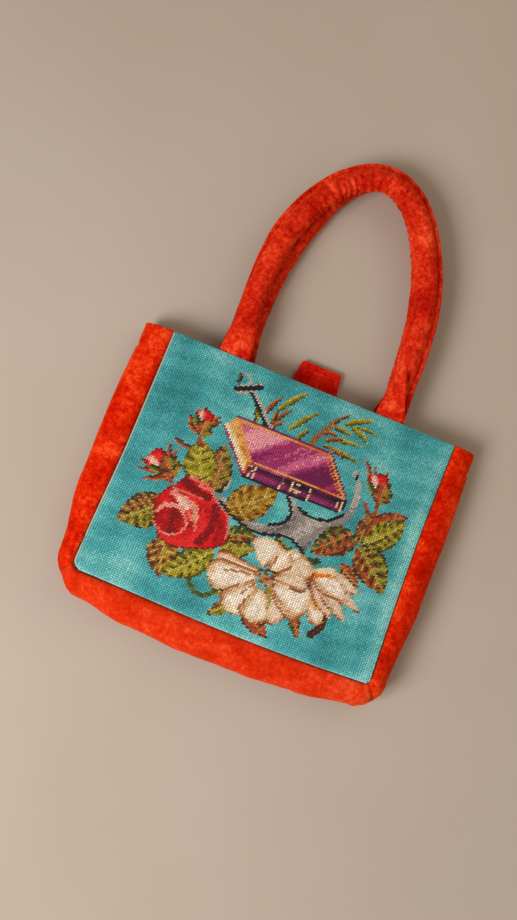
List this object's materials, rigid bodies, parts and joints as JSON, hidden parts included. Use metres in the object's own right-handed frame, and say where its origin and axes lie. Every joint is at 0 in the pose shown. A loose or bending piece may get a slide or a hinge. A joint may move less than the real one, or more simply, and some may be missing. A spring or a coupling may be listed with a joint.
{
  "type": "knitting bag",
  "caption": "Flat tote for knitting with a needlepoint front, puffed velvet gusset, lining, padded loop handles and a snap tab, lying on its back.",
  "frame": {"origin": "middle of the back panel's flat outer face, on which the bag lies", "axes": "+X along the mouth, +Y from the base to the mouth and the handles, +Z out of the needlepoint"},
  "size_m": [0.3615, 0.5378, 0.0447],
  "materials": {
    "needlepoint_wool": "needlepoint wool, tent stitch, teal ground with a worked bouquet",
    "canvas": "stiff cotton canvas",
    "velvet": "crushed orange-red velvet",
    "velvet_handle": "crushed orange-red velvet, gathered on the handles",
    "velvet_tab": "orange-red velvet, seen against the pile",
    "lining_cloth": "plain woven cotton",
    "cord_filler": "soft cotton filler",
    "snap_metal": "nickel-plated"
  },
  "bodies": {
    "bag": {"back_panel": "velvet", "left_gusset": "velvet", "base_gusset": "velvet", "right_gusset": "velvet", "back_lining": "lining_cloth", "left_lining": "lining_cloth", "base_lining": "lining_cloth", "right_lining": "lining_cloth", "back_handle_left_tail": "velvet_handle", "back_handle_right_tail": "velvet_handle", "tab_tail": "velvet_tab"},
    "front_panel": {"needlepoint": "needlepoint_wool", "canvas": "canvas", "front_lining": "lining_cloth", "front_handle_left_tail": "velvet_handle", "front_handle_right_tail": "velvet_handle", "snap_socket": "snap_metal", "socket_washer": "snap_metal"},
    "front_handle": {"front_handle_cover": "velvet_handle", "front_handle_core": "cord_filler"},
    "back_handle": {"back_handle_cover": "velvet_handle", "back_handle_core": "cord_filler"},
    "closure_tab": {"tab_lower": "velvet_tab", "tab_upper": "velvet_tab", "snap_stud": "snap_metal", "stud_washer": "snap_metal"}
  },
  "joints": [
    {"name": "mouth_opening", "type": "hinge", "parent": "bag", "child": "front_panel", "pos_m": [0, -0.124, 0.04], "axis": [1, 0, 0], "range_deg": [0, 11]},
    {"name": "front_handle_swing", "type": "hinge", "parent": "front_panel", "child": "front_handle", "pos_m": [0, 0.1265, 0.0308], "axis": [1, 0, 0], "range_deg": [0, 150]},
    {"name": "back_handle_swing", "type": "hinge", "parent": "bag", "child": "back_handle", "pos_m": [0, 0.1265, 0.003], "axis": [1, 0, 0], "range_deg": [-100, 0]},
    {"name": "closure_tab_swing", "type": "hinge", "parent": "bag", "child": "closure_tab", "pos_m": [0, 0.1265, 0.0051], "axis": [1, 0, 0], "range_deg": [0, 80]}
  ]
}
